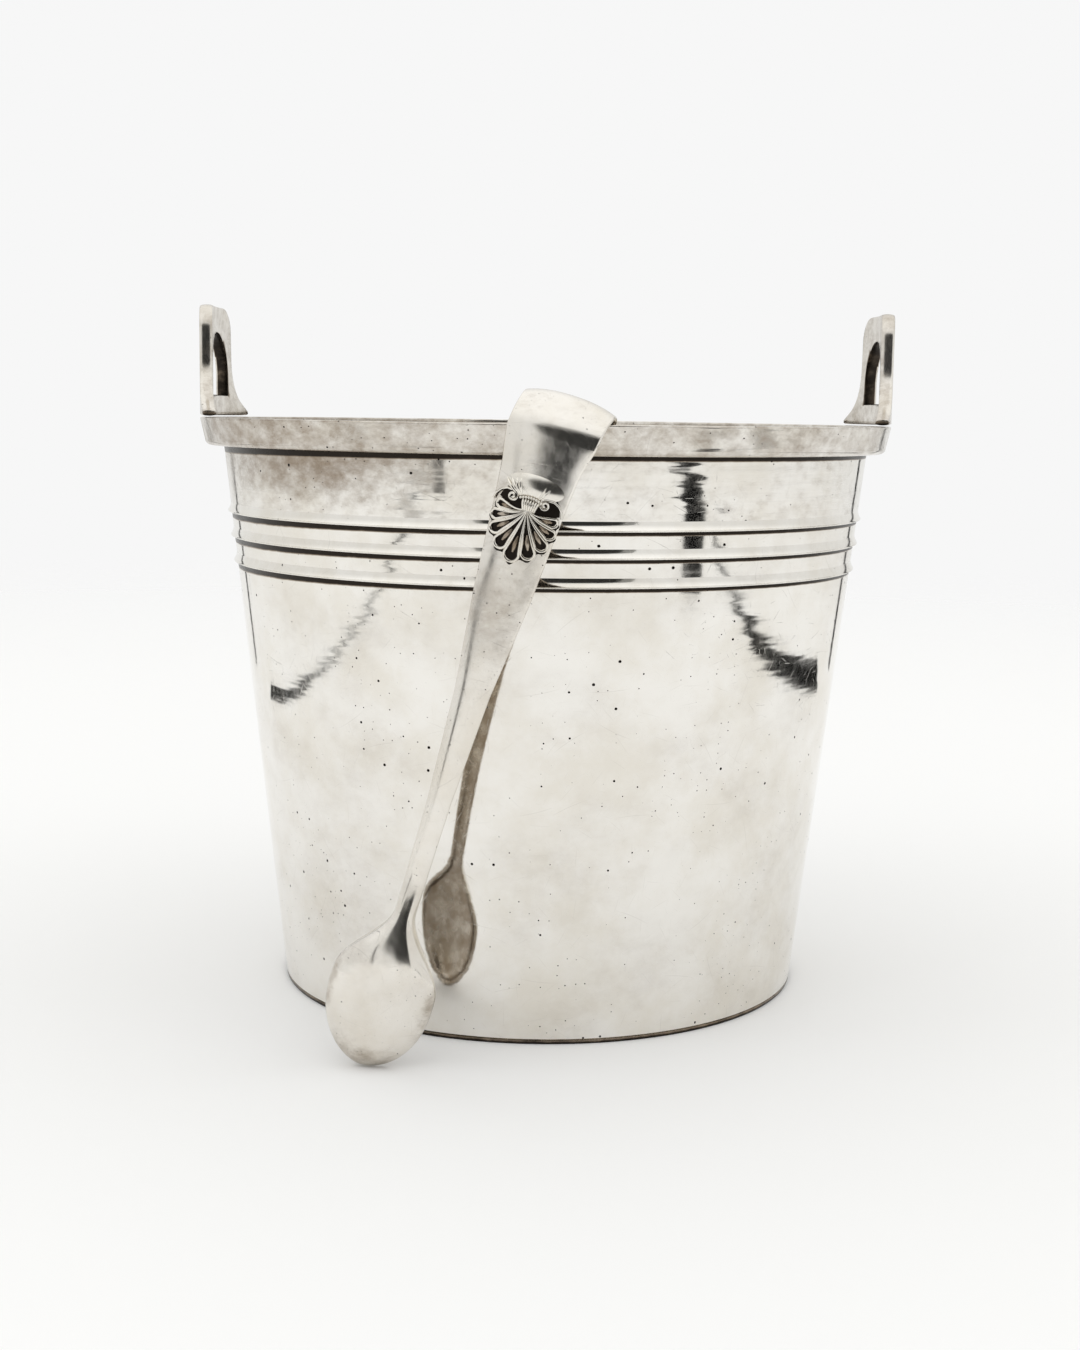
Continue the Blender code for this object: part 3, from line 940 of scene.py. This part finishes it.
# %% The handles
handle_low, handle_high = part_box("right_handle")
HANDLE_OUTER = handle_high.x
HANDLE_THICK = 0.0037
HANDLE_TOP = handle_high.z
FOOT_Z = handle_low.z
FOOT_HALF = handle_high.y
WAIST_HALF = 0.0170
WAIST_Z = 0.1798
SHOULDER = 0.0074
TOP_HALF = 0.0167
HOLE_SILL = 0.1715
HOLE_HALF = 0.0126
HOLE_SPRING = 0.1768
HANDLE_EDGE = 0.0005                    # how far the outer edge is rounded out
HOLE_EDGE = 0.0004
FOOT_SOLE = 0.0006                      # height of the foot's underside over the CAD box
FOOT_END = 0.0012                       # height of the foot's blunt end
print("handle height", round(HANDLE_TOP - FOOT_Z, 4), "foot", round(FOOT_HALF * 2.0, 4))

# %% The handle's outline and its finger hole
def handle_outline():
    """The arch's right half from the foot's middle up to the crown's middle."""
    inset = HANDLE_EDGE
    toe = FOOT_HALF - inset
    points = straight((0.0, FOOT_Z + FOOT_SOLE), (toe, FOOT_Z + FOOT_SOLE), 20)
    points += straight((toe, FOOT_Z + FOOT_SOLE), (toe, FOOT_Z + FOOT_END), 2)
    start = Vector((toe, FOOT_Z + FOOT_END))
    pull = Vector((WAIST_HALF + 0.0003 - inset, WAIST_Z - 0.0080))
    end = Vector((WAIST_HALF - inset, WAIST_Z + 0.0025))
    for i in range(24):
        t = i / 24.0
        point = start * (1.0 - t) ** 2 + pull * 2.0 * t * (1.0 - t) + end * t * t
        points.append((point.x, point.y))
    points += straight((end.x, end.y), (TOP_HALF - inset, HANDLE_TOP - SHOULDER), 6)
    points += fillet(TOP_HALF - SHOULDER, HANDLE_TOP - SHOULDER, SHOULDER - inset, 0.0, 90.0, 12)
    points += straight((TOP_HALF - SHOULDER - 0.0006, HANDLE_TOP - inset),
                       (0.0, HANDLE_TOP - inset), 6)
    points.append((0.0, HANDLE_TOP - inset))
    return points


def hole_outline():
    """The hole's right half: a sill, an upright side and a quarter of its arch."""
    side, sill = HOLE_HALF + HOLE_EDGE, HOLE_SILL - HOLE_EDGE
    return (straight((0.0, sill), (side, sill), 10) + straight((side, sill), (side, HOLE_SPRING), 6)
            + fillet(0.0, HOLE_SPRING, side, 0.0, 90.0, 24))


print("outline points:", len(handle_outline()), "hole points:", len(hole_outline()))

# %% A grid between hole and outline, bent along the rim
def by_angle(points, angles):
    """Where rays from the hole's middle meet an outline."""
    flat = np.array(points)
    polar_angle = np.arctan2(flat[:, 1] - HOLE_SPRING, flat[:, 0])
    order = np.argsort(polar_angle)
    across = np.interp(angles, polar_angle[order], flat[order, 0])
    height = np.interp(angles, polar_angle[order], flat[order, 1])
    return np.stack([across, height], axis=1)


def handle_grid(side):
    """Rows of rays from the hole to the outline, with a ray at each sharp corner."""
    angles = np.linspace(-math.pi / 2.0, math.pi / 2.0, 161)
    for across, height in ((HOLE_HALF + HOLE_EDGE, HOLE_SILL - HOLE_EDGE),
                           (FOOT_HALF - HANDLE_EDGE, FOOT_Z + FOOT_SOLE),
                           (FOOT_HALF - HANDLE_EDGE, FOOT_Z + FOOT_END)):
        corner = math.atan2(height - HOLE_SPRING, across)
        angles[np.argmin(abs(angles - corner))] = corner
    outer = by_angle(handle_outline(), angles)
    inner = by_angle(hole_outline(), angles)
    mix = np.linspace(0.0, 1.0, 9)[None, :, None]
    half = inner[:, None, :] * (1.0 - mix) + outer[:, None, :] * mix
    mirrored = half[-2:0:-1] * np.array([-1.0, 1.0])
    flat = np.concatenate([half, mirrored], axis=0)
    middle = HANDLE_OUTER - HANDLE_THICK / 2.0
    depth = side * np.sqrt(middle ** 2 - flat[:, :, 0] ** 2)
    return np.stack([depth, flat[:, :, 0], flat[:, :, 1]], axis=2)


print("handle grid:", handle_grid(1.0).shape)

# %% Tarnish and painted shade on the handles, and both pieces
def hole_distance(point):
    """How far a point of a handle is from the finger hole's edge."""
    if point.z > HOLE_SPRING:
        return math.hypot(point.y, point.z - HOLE_SPRING) - HOLE_HALF
    return max(abs(point.y) - HOLE_HALF, HOLE_SILL - point.z)


def handle_grime_and_shade(point, normal):
    """Black inside the hole, black painted shade at the toes, brown along the seat, dull on the
    inside.
    """
    hole = 1.0 if hole_distance(point) < 0.0003 else 0.0
    seat = 0.22 if point.z < FOOT_Z + 0.0004 else 0.0
    # Painted shade: the ends of the foot are black where a gap lies under them.
    if abs(point.y) > FOOT_HALF - 0.0013 and point.z < FOOT_Z + 0.0011:
        seat = 1.0
    dull = 0.30 * bump_rule(point.z, FOOT_Z, 0.008)
    inner = 0.22 if normal.x * point.x < 0.0 else 0.14
    return max(hole * 0.9, seat, dull, inner)


for handle_name, side in (("left_handle", -1.0), ("right_handle", 1.0)):
    skin = sheet_sections(handle_grid(side), HANDLE_THICK, True, (HOLE_EDGE, HANDLE_EDGE))
    handle = loft(handle_name + "_filed", skin, True, HANDLE)
    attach(handle, "bucket")
    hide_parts(handle_name)
    set_grime_and_shade(handle, handle_grime_and_shade)
    print(handle_name, "faces:", len(handle.data.polygons))

# %% [markdown]
# ## The ice tongs
#
# The tongs are one long springy strip, bent over at its middle.  Each half runs from the
# crown, down its arm, into a spoon-like bowl.  The CAD model splits them into bow, arm and
# bowl so that the arms can be squeezed.  Here each half is one piece from crown to tip, so
# that no joint line shows.

# %% Where the tongs hang, from the joints and the arms themselves
outer_joint, inner_joint = JOINTS["outer_squeeze"], JOINTS["inner_squeeze"]
outer_hinge, inner_hinge = Vector(outer_joint["pos_m"]), Vector(inner_joint["pos_m"])
ACROSS = Vector(outer_joint["axis"]).normalized()
APART = (inner_hinge - outer_hinge).normalized()
DOWN = ACROSS.cross(APART).normalized()
DOWN = -DOWN if DOWN.z > 0.0 else DOWN
SPLAY = math.radians(7.0)
BOW_RADIUS = (inner_hinge - outer_hinge).length / 2.0 / math.cos(SPLAY)
BOW_CENTRE = (outer_hinge + inner_hinge) / 2.0 + DOWN * BOW_RADIUS * math.sin(SPLAY)
HINGES = {"outer": outer_hinge, "inner": inner_hinge}
AWAY = {"outer": -APART, "inner": APART}
ARM = {side: (DOWN * math.cos(SPLAY) + AWAY[side] * math.sin(SPLAY)).normalized()
       for side in AWAY}
FACE = {side: (AWAY[side] * math.cos(SPLAY) - DOWN * math.sin(SPLAY)).normalized()
        for side in AWAY}
print("bow radius", round(BOW_RADIUS, 5), "outer arm runs along", ARM["outer"][:])

# %% One half of the tongs, as a grid on the middle of the sheet
STRIP = 0.0014
ARM_WIDTHS = ((-0.0125, 0.0118), (0.0, 0.0115), (0.008, 0.0098), (0.018, 0.0089),
              (0.040, 0.0074), (0.066, 0.0046), (0.095, 0.0031), (0.124, 0.0027),
              (0.150, 0.0027))
BOWL_MIDDLE = 0.1491
BOWL_LONG = 0.0184
BOWL_WIDE = 0.0140
BOWL_DEEP = 0.0056
EDGE_ROOM = STRIP * 0.45
CROWN_SHIFT = 0.0010


def ease(value, start, end):
    """0 before start, 1 after end, and a smooth step between."""
    t = min(1.0, max(0.0, (value - start) / (end - start)))
    return t * t * (3.0 - 2.0 * t)


def egg_end(down):
    """1 up to the bowl's middle, then a quarter of an oval down to 0 at its tip."""
    reach = max(0.0, (down - BOWL_MIDDLE) / BOWL_LONG)
    return math.sqrt(max(0.0, 1.0 - reach * reach))


def strip_half_width(down):
    """The arm's taper, which spreads through soft shoulders into the bowl's egg shape."""
    stations, widths = zip(*ARM_WIDTHS)
    arm = float(np.interp(down, stations, widths))
    return arm + (BOWL_WIDE * egg_end(down) - arm) * ease(down, 0.1250, 0.1458)


def swell(down, across, wide):
    """How far the strip's middle stands out over its edges; deepest over the crown."""
    u = min(1.0, abs(across) / wide)
    depth = 0.0017 + (0.0010 - 0.0017) * ease(down, -0.013, -0.002)
    depth += (0.00045 - 0.0010) * ease(down, 0.016, 0.050)
    return depth * (1.0 - u ** 2.4) * (1.0 - ease(down, 0.112, 0.125))


def bowl_rise(down, across, wide):
    """The bowl's back: a long slope up from the neck, then an egg's end."""
    height = BOWL_DEEP * ease(down, 0.113, 0.1430) * egg_end(down)
    u = min(1.0, abs(across) / wide)
    flat = 5.0 - 3.0 * ease(down, 0.1290, 0.1440)
    return height * (1.0 - u ** flat) ** 0.62


print("half width at the bowl", round(strip_half_width(BOWL_MIDDLE), 4))

# %% From strip measures to points in space
def half_rows():
    """Distances along the strip; below zero is on the bow, above is down the arm."""
    bow_length = BOW_RADIUS * (math.pi / 2.0 - SPLAY)
    neck = BOWL_MIDDLE - BOWL_LONG - 0.012
    rows = list(np.linspace(-bow_length, 0.0, 73))
    rows += list(np.linspace(0.0, neck, 80))[1:]
    rows += list(np.linspace(neck, BOWL_MIDDLE, 64))[1:]
    rows += [BOWL_MIDDLE + BOWL_LONG * math.sin(a)
             for a in np.linspace(0.0, math.pi / 2.0 - 0.06, 44)][1:]
    return rows


def strip_point(side, down, across, out):
    """A point of a half: along its strip, across it, and out from its middle surface."""
    if down < 0.0:
        angle = SPLAY - down / BOW_RADIUS
        reach = BOW_RADIUS + out
        return (BOW_CENTRE + AWAY[side] * reach * math.cos(angle)
                - DOWN * reach * math.sin(angle) + ACROSS * across)
    return HINGES[side] + ARM[side] * down + FACE[side] * out + ACROSS * across


def half_grid(side):
    rows = []
    for down in half_rows():
        wide = max(strip_half_width(down) - EDGE_ROOM, 0.0002)
        row = []
        for u in np.linspace(-1.0, 1.0, 27):
            across = wide * math.sin(u * math.pi / 2.0)
            out = swell(down, across, wide) + bowl_rise(down, across, wide)
            lean = CROWN_SHIFT * (1.0 - ease(down, -0.010, 0.006))
            row.append(strip_point(side, down, across + lean, out))
        rows.append([tuple(point) for point in row])
    return np.array(rows)


print("rows along a half:", len(half_rows()))

# %% Tarnish and painted shade on the tongs, and both halves
SHELL_DOWN = 0.0195          # the shell's middle, from the hinge down the arm


def tongs_grime_and_shade(side):
    shell_middle = HINGES[side] + ARM[side] * SHELL_DOWN

    def rule(point, normal):
        """Brown round the shell and at the bowl's edges; painted shade at the bowl's tip and on the
        strip's inner side.
        """
        near_shell = 0.35 * bump_rule((point - shell_middle).length, 0.0, 0.017)
        # Painted shade: the strip's inner side, turned towards the bucket, is darkened.
        hidden = 0.42 if normal.dot(FACE[side]) < -0.3 else 0.0
        down = (point - HINGES[side]).dot(ARM[side])
        across = abs((point - HINGES[side]).dot(ACROSS))
        # Painted shade: the bowl darkens towards its tip, next to the floor.
        tip = 0.34 * ease(down, 0.155, 0.168)
        edges = 0.26 * ease(across, 0.0095, 0.0138) * ease(down, 0.130, 0.140)
        crown = 0.13 * bump_rule(down, -0.008, 0.016)
        return max(near_shell, hidden, tip, edges, crown)

    return rule


for side in ("outer", "inner"):
    half = loft(side + "_half", sheet_sections(half_grid(side), STRIP), False, TONGS)
    set_grime_and_shade(half, tongs_grime_and_shade(side))
    nodes = [side + "_arm", side + "_bowl"] + (["tongs_bow"] if side == "outer" else [])
    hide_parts(*nodes)
    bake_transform(half)
    print(half.name, "faces:", len(half.data.polygons))

# %% [markdown]
# ## The shell ornaments
#
# A cast scallop shell is soldered to the outside of each arm.  It is a fan of wire loops that
# spring from a fluted neck, with a rolled scroll on either side and a ribbed dome above.  The
# loops, ribs and scrolls all follow short formulas, and one Geometry Nodes tree sweeps a round
# wire along them.  A second tree strings beads along an arc.

# %% The wire and bead trees
def make_wire_tree():
    tree, given = new_geometry_tree("relief_wire", Wire_Radius=0.0003)
    path = add(tree, "GeometryNodeMeshToCurve", {"Mesh": given["Geometry"]})
    thick = add(tree, "GeometryNodeInputNamedAttribute", {"Name": "thick"}, data_type="FLOAT")
    widen = add(tree, "GeometryNodeSetCurveRadius", {"Curve": path, "Radius": thick})
    section = add(tree, "GeometryNodeCurvePrimitiveCircle",
                  {"Resolution": 10, "Radius": given["Wire Radius"]})
    sweep = add(tree, "GeometryNodeCurveToMesh",
                {"Curve": widen, "Profile Curve": section, "Fill Caps": True})
    if "Scale" in sweep.inputs:
        connect(tree, sweep.inputs["Scale"], thick)
    return finish_tree(tree, given, sweep)


def make_bead_tree():
    tree, given = new_geometry_tree("bead_row", Bead_Radius=0.0004)
    bead = add(tree, "GeometryNodeMeshUVSphere",
               {"Segments": 14, "Rings": 8, "Radius": given["Bead Radius"]})
    spots = add(tree, "GeometryNodeMeshToPoints", {"Mesh": given["Geometry"]})
    string = add(tree, "GeometryNodeInstanceOnPoints",
                 {"Points": spots, "Instance": bead})
    return finish_tree(tree, given, string)


WIRE = make_wire_tree()
BEADS = make_bead_tree()
print("trees:", WIRE.name, BEADS.name)

# %% The shell's own coordinates
HUB = (0.0003, -0.0018)      # where the loops spring from, across and down
MM = 0.001
LOBE_STEP = 19.9             # degrees from one loop to the next
LOBE_START = -83.0
LOBE_ANGLES = [LOBE_START + LOBE_STEP * i for i in range(9)]


def back_height(across, down):
    """Height of the ornament's own back over the arm's face."""
    spread = (across / 0.0100) ** 2 + (down / 0.0135) ** 2
    return 0.00015 + 0.0004 * max(0.0, 1.0 - spread)


def shell_point(side, across, down, lift):
    """across and down from the shell's middle, and lift above its domed back."""
    place = SHELL_DOWN + down
    out = STRIP / 2.0 + swell(place, across, strip_half_width(place))
    return strip_point(side, place, across, out + back_height(across, down) + lift)


def polar(angle, reach, side_step=0.0):
    """Across and down for an angle from straight down, in degrees, seen from the hub."""
    a = math.radians(angle)
    return (HUB[0] + reach * math.sin(a) + side_step * math.cos(a),
            HUB[1] + reach * math.cos(a) - side_step * math.sin(a))


def lobe_reach(angle):
    return (14.1 - 0.074 * abs(angle + 2.0)) * MM


def lobe_turn(angle, share):
    """A loop's direction at a share of its length: it leaves the neck downwards, then fans."""
    return angle * (1.0 - 0.55 * (1.0 - share) ** 2)


print("lobes:", len(LOBE_ANGLES), "longest", round(lobe_reach(-2.0), 4))

# %% Paths of the loops, scrolls, ribs and leaves
def lobe_path(angle):
    """A loop that leaves the neck as a narrow pair of lines and ends in a round head."""
    reach = lobe_reach(angle) - 0.0002
    spread = math.tan(math.radians(LOBE_STEP * 0.445))
    head = reach / (1.0 + spread)
    wide = head * spread
    near, slim = 0.5 * MM, 0.10 * MM
    flat = []
    for i in range(20):
        share = i / 20.0
        flat.append((near + (head - near) * share, slim + (wide - slim) * share ** 1.5))
    for i in range(9):
        turn_angle = math.pi / 2.0 * i / 8
        flat.append((head + wide * math.sin(turn_angle), wide * math.cos(turn_angle)))
    flat += [(along, -step) for along, step in reversed(flat[:-1])]
    points = []
    for along, step in flat:
        share = min(1.0, along / reach)
        across, down = polar(lobe_turn(angle, share), along, step)
        points.append((across, down, 0.0002 + 0.0003 * math.sin(math.pi * share ** 1.5)))
    return points


def scroll_path(sign):
    """An arm that runs in from the shell's side and rolls up into a spiral."""
    corners = [(8.9, -1.5), (8.5, -3.0), (7.4, -4.3), (6.0, -4.95), (4.5, -4.9)]
    points = [(sign * x * MM, y * MM, 0.0002) for x, y in corners]
    centre = (sign * 4.2 * MM, -3.55 * MM)
    for i in range(30):
        share = i / 29.0
        turn_angle = math.radians(100.0 + 560.0 * share)
        reach = (1.30 - 1.05 * share) * MM
        points.append((centre[0] + sign * reach * math.cos(turn_angle),
                       centre[1] - reach * math.sin(turn_angle), 0.0002 + 0.0004 * share))
    return points


def bent_rib(start, end, bulge, lift, count=12):
    """A raised rib from start to end in millimetres, bowed sideways by bulge."""
    points = []
    for i in range(count):
        share = i / (count - 1)
        rise = math.sin(math.pi * share)
        points.append(((start[0] + (end[0] - start[0]) * share + bulge * rise) * MM,
                       (start[1] + (end[1] - start[1]) * share) * MM, lift * rise))
    return points


def leaf_path(angle):
    """The small rounded leaf that fills a loop's outer end."""
    reach = lobe_reach(angle)
    points = []
    for i in range(8):
        share = i / 7.0
        length = 0.52 + 0.30 * share
        across, down = polar(lobe_turn(angle, length), reach * length)
        points.append((across, down, -0.0002 + 0.0001 * share))
    return points


print("points in a loop:", len(lobe_path(0.0)), "in a scroll:", len(scroll_path(1.0)))

# %% All wires of a shell as one source mesh
def wire_mesh(name, side, paths):
    """paths holds (points, closed, thickness at the middle, thickness at the ends)."""
    chains, thick = [], []
    for path, closed, middle, ends in paths:
        chains.append(([shell_point(side, *place) for place in path], closed))
        steps = len(path) if closed else len(path) - 1
        thick += [ends + (middle - ends) * math.sin(math.pi * i / steps)
                  for i in range(len(path))]
    mesh = edge_mesh(name, chains)
    mesh.attributes.new("thick", "FLOAT", "POINT").data.foreach_set("value", thick)
    return mesh


def bright_paths():
    paths = [(lobe_path(angle), True, 1.35, 0.35) for angle in LOBE_ANGLES]
    paths += [(scroll_path(sign), False, 1.1, 0.9) for sign in (-1.0, 1.0)]
    for i in range(7):
        across = 0.5 + 0.62 * (i - 3)
        paths.append((bent_rib((across * 1.15, -4.0), (across * 0.75 + 0.2, -0.9), 0.0, 0.0006),
                      False, 1.0, 0.8))
    for sign, thick, count in ((-1.0, 1.5, 4), (1.0, 0.9, 2)):
        for i in range(count):
            top = (sign * (3.3 + 1.2 * i), -8.5 + 0.42 * i)
            paths.append((bent_rib(top, (sign * (1.9 + 0.28 * i), -4.4 + 0.12 * i),
                                   sign * 0.35, 0.0004), False, thick, 0.7))
    return paths


print("bright wires:", len(bright_paths()))

# %% The shell's back and the dome above it
def shell_outline():
    """The ornament's outer edge round the hub: scalloped below, a low arch above."""
    outline = []
    for i in range(180):
        off = (2.0 * i + 180.0) % 360.0 - 180.0
        if abs(off + 3.0) < 93.0:
            phase = 2.0 * math.pi * (off - LOBE_START) / LOBE_STEP
            outline.append(polar(off, lobe_reach(off) * (1.005 + 0.045 * math.cos(phase))))
        else:
            lift = abs(math.cos(math.radians(off)))
            outline.append(polar(off, (7.9 - 1.1 * lift) * MM))
    return outline


def domed_cap(name, side, outline, middle, rise):
    """A low closed dome over an outline, flat underneath."""
    count, rings = len(outline), 8
    points = []
    for k in range(rings):
        scale = 1.0 - k / rings
        lift = rise * (1.0 - scale * scale)
        for across, down in outline:
            x = middle[0] + (across - middle[0]) * scale
            y = middle[1] + (down - middle[1]) * scale
            points.append(tuple(shell_point(side, x, y, lift)))
    top = len(points)
    points.append(tuple(shell_point(side, middle[0], middle[1], rise)))
    points += [tuple(shell_point(side, x, y, -back_height(x, y) + 0.00005)) for x, y in outline]
    faces = ring_faces(rings, count)
    last = (rings - 1) * count
    faces += [(last + j, last + (j + 1) % count, top) for j in range(count)]
    faces += [(j, top + 1 + j, top + 1 + (j + 1) % count, (j + 1) % count) for j in range(count)]
    faces.append(tuple(top + 1 + j for j in range(count)))
    return solid(name, points, faces, SHELL, 50.0)


print("outline points:", len(shell_outline()))

# %% Both shells
CREST = (0.0004, -0.0070)
CREST_HALF = (0.0074, 0.0030)
CREST_RISE = 0.0006
WIRE_RADIUS = 0.00030
BEAD_RADIUS = 0.00036
for side in ("outer", "inner"):
    body = side + "_arm_body"
    back = domed_cap(side + "_shell_back", side, shell_outline(), HUB, 0.0)
    set_grime_and_shade(back, lambda point, normal: 1.0)
    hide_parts(side + "_shell")
    crest = domed_cap(side + "_shell_crest", side, oval(CREST, *CREST_HALF, 48), CREST,
                      CREST_RISE)
    set_grime_and_shade(crest, lambda point, normal: 0.10)
    wires = grown(side + "_shell_wires", wire_mesh(side + "_wire_paths", side, bright_paths()),
                  WIRE, {"Finish": SHELL, "Wire Radius": WIRE_RADIUS})
    # Painted shade: each wire is clean where it faces out, brown on its flanks and black where it
    # faces the back.
    set_grime_and_shade(wires, lambda point, normal, f=FACE[side]: 0.35 - 0.6 * normal.dot(f))
    leaves = grown(side + "_shell_leaves",
                   wire_mesh(side + "_leaf_paths", side,
                             [(leaf_path(angle), False, 2.4, 0.8) for angle in LOBE_ANGLES]),
                   WIRE, {"Finish": SHELL, "Wire Radius": WIRE_RADIUS})
    set_grime_and_shade(leaves, lambda point, normal: 0.48)
    spots = [shell_point(side, (0.5 + 0.66 * i) * MM, (-4.35 + 0.035 * i * i) * MM, 0.0006)
             for i in range(-4, 5)]
    beads = grown(side + "_shell_beads", edge_mesh(side + "_bead_spots", [(spots, False)]),
                  BEADS, {"Finish": SHELL, "Bead Radius": BEAD_RADIUS})
    set_grime_and_shade(beads, lambda point, normal: 0.05)
    for piece in (back, crest, wires, leaves, beads):
        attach(piece, body)
    print(body, "shell faces:", len(wires.data.polygons) + len(beads.data.polygons))
